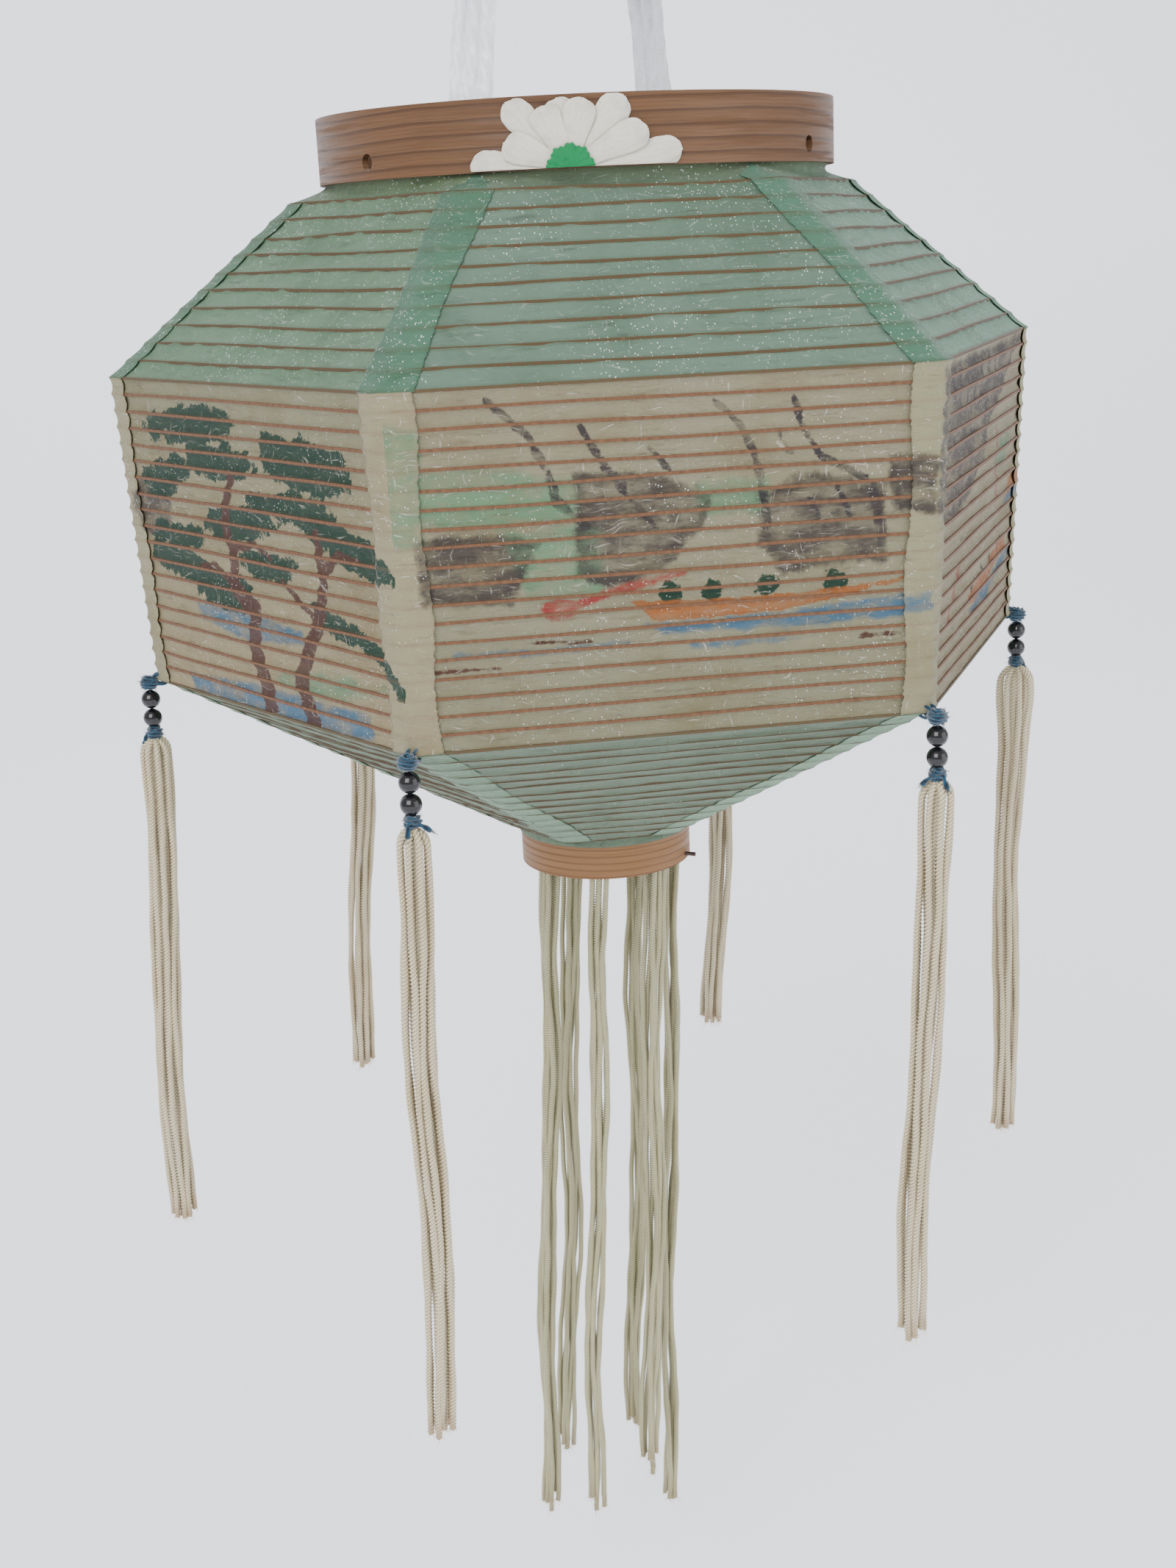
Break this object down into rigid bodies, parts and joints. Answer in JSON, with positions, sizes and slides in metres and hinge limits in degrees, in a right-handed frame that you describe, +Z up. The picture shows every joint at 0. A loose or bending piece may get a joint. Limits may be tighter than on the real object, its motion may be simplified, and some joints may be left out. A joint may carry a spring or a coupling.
{
  "type": "folding paper lantern",
  "caption": "Hanging hexagonal paper lantern with bent wood hoops, bamboo ribs, pleated painted paper that folds up, a paper flower, beads and hanging cord tassels.",
  "frame": {"origin": "middle of the hole in the hanging bar, on the lantern's axis", "axes": "+Z up along the lantern's axis, +X through a corner of the hexagon, and a flat face looks along -Y"},
  "size_m": [0.3189, 0.2725, 0.5613],
  "materials": {
    "bar_wood": "satin",
    "film": "clear gloss",
    "cedar_brown": "satin",
    "petal_paper": "matt",
    "green_paper": "matt",
    "bamboo": "matt",
    "washi_green": "matt",
    "washi_cream": "matt",
    "linen_thread": "matt",
    "blue_yarn": "fluffy",
    "bead_black": "polished",
    "cream_cord": "silky",
    "pale_cord": "silky",
    "cedar_tan": "satin",
    "nail_steel": "dull"
  },
  "bodies": {
    "hanger": {"hanging_bar": "bar_wood", "strap_front": "film", "strap_back": "film", "top_hoop": "cedar_brown", "petal_1": "petal_paper", "petal_2": "petal_paper", "petal_3": "petal_paper", "petal_4": "petal_paper", "petal_5": "petal_paper", "petal_6": "petal_paper", "petal_7": "petal_paper", "petal_8": "petal_paper", "petal_9": "petal_paper", "flower_centre": "green_paper", "upper_ribs": "bamboo", "upper_paper": "washi_green", "upper_threads": "linen_thread"},
    "shoulder": {"shoulder_rib": "bamboo", "middle_ribs": "bamboo", "middle_paper": "washi_cream", "middle_threads": "linen_thread"},
    "lower_rim": {"corner_rib": "bamboo", "lower_ribs": "bamboo", "lower_paper": "washi_green", "lower_threads": "linen_thread", "corner_knot_1": "blue_yarn", "corner_knot_2": "blue_yarn", "corner_knot_3": "blue_yarn", "corner_knot_4": "blue_yarn", "corner_knot_5": "blue_yarn", "corner_knot_6": "blue_yarn"},
    "base": {"bottom_hoop": "cedar_tan", "candle_board": "bar_wood", "candle_spike": "nail_steel", "board_nails": "nail_steel", "fringe_ring": "linen_thread"},
    "corner_cord_1": {"beads_1": "bead_black", "tassel_tie_1": "blue_yarn", "tassel_1": "cream_cord"},
    "corner_cord_2": {"beads_2": "bead_black", "tassel_tie_2": "blue_yarn", "tassel_2": "cream_cord"},
    "corner_cord_3": {"beads_3": "bead_black", "tassel_tie_3": "blue_yarn", "tassel_3": "cream_cord"},
    "corner_cord_4": {"beads_4": "bead_black", "tassel_tie_4": "blue_yarn", "tassel_4": "cream_cord"},
    "corner_cord_5": {"beads_5": "bead_black", "tassel_tie_5": "blue_yarn", "tassel_5": "cream_cord"},
    "corner_cord_6": {"beads_6": "bead_black", "tassel_tie_6": "blue_yarn", "tassel_6": "cream_cord"},
    "bottom_cord_1": {"fringe_1": "pale_cord"},
    "bottom_cord_2": {"fringe_2": "pale_cord"},
    "bottom_cord_3": {"fringe_3": "pale_cord"},
    "bottom_cord_4": {"fringe_4": "pale_cord"},
    "bottom_cord_5": {"fringe_5": "pale_cord"},
    "bottom_cord_6": {"fringe_6": "pale_cord"}
  },
  "joints": [
    {"name": "upper_fold", "type": "slide", "parent": "hanger", "child": "shoulder", "axis": [0, 0, 1], "range_m": [0, 0.046], "deforming": ["upper_ribs", "upper_paper", "upper_threads"]},
    {"name": "middle_fold", "type": "slide", "parent": "shoulder", "child": "lower_rim", "axis": [0, 0, 1], "range_m": [0, 0.068], "deforming": ["middle_ribs", "middle_paper", "middle_threads"]},
    {"name": "lower_fold", "type": "slide", "parent": "lower_rim", "child": "base", "axis": [0, 0, 1], "range_m": [0, 0.052], "deforming": ["lower_ribs", "lower_paper", "lower_threads"]},
    {"name": "corner_swing_1", "type": "hinge", "parent": "lower_rim", "child": "corner_cord_1", "pos_m": [0.1496, 0, -0.2199], "axis": [0, -1, 0], "range_deg": [-12, 30]},
    {"name": "corner_swing_2", "type": "hinge", "parent": "lower_rim", "child": "corner_cord_2", "pos_m": [0.0748, 0.12956, -0.2199], "axis": [0.866, -0.5, 0], "range_deg": [-12, 30]},
    {"name": "corner_swing_3", "type": "hinge", "parent": "lower_rim", "child": "corner_cord_3", "pos_m": [-0.0748, 0.12956, -0.2199], "axis": [0.866, 0.5, 0], "range_deg": [-12, 30]},
    {"name": "corner_swing_4", "type": "hinge", "parent": "lower_rim", "child": "corner_cord_4", "pos_m": [-0.1496, 0, -0.2199], "axis": [0, 1, 0], "range_deg": [-12, 30]},
    {"name": "corner_swing_5", "type": "hinge", "parent": "lower_rim", "child": "corner_cord_5", "pos_m": [-0.0748, -0.12956, -0.2199], "axis": [-0.866, 0.5, 0], "range_deg": [-12, 30]},
    {"name": "corner_swing_6", "type": "hinge", "parent": "lower_rim", "child": "corner_cord_6", "pos_m": [0.0748, -0.12956, -0.2199], "axis": [-0.866, -0.5, 0], "range_deg": [-12, 30]},
    {"name": "bottom_swing_1", "type": "hinge", "parent": "base", "child": "bottom_cord_1", "pos_m": [-0.02114, -0.00854, -0.2871], "axis": [-0.3746, 0.9272, 0], "range_deg": [-3.5, 10]},
    {"name": "bottom_swing_2", "type": "hinge", "parent": "base", "child": "bottom_cord_2", "pos_m": [-0.00628, -0.02192, -0.2871], "axis": [-0.9613, 0.2756, 0], "range_deg": [-3.5, 10]},
    {"name": "bottom_swing_3", "type": "hinge", "parent": "base", "child": "bottom_cord_3", "pos_m": [0.0134, -0.01845, -0.2871], "axis": [-0.809, -0.5878, 0], "range_deg": [-3.5, 10]},
    {"name": "bottom_swing_4", "type": "hinge", "parent": "base", "child": "bottom_cord_4", "pos_m": [0.0228, 0, -0.2871], "axis": [0, -1, 0], "range_deg": [-3.5, 10]},
    {"name": "bottom_swing_5", "type": "hinge", "parent": "base", "child": "bottom_cord_5", "pos_m": [0.01404, 0.01797, -0.2871], "axis": [0.788, -0.6157, 0], "range_deg": [-3.5, 10]},
    {"name": "bottom_swing_6", "type": "hinge", "parent": "base", "child": "bottom_cord_6", "pos_m": [-0.00854, 0.02114, -0.2871], "axis": [0.9272, 0.3746, 0], "range_deg": [-3.5, 10]}
  ],
  "couplings": [
    {"joint": "upper_fold", "follows": "middle_fold", "ratio": 0.67647},
    {"joint": "lower_fold", "follows": "middle_fold", "ratio": 0.76471}
  ]
}
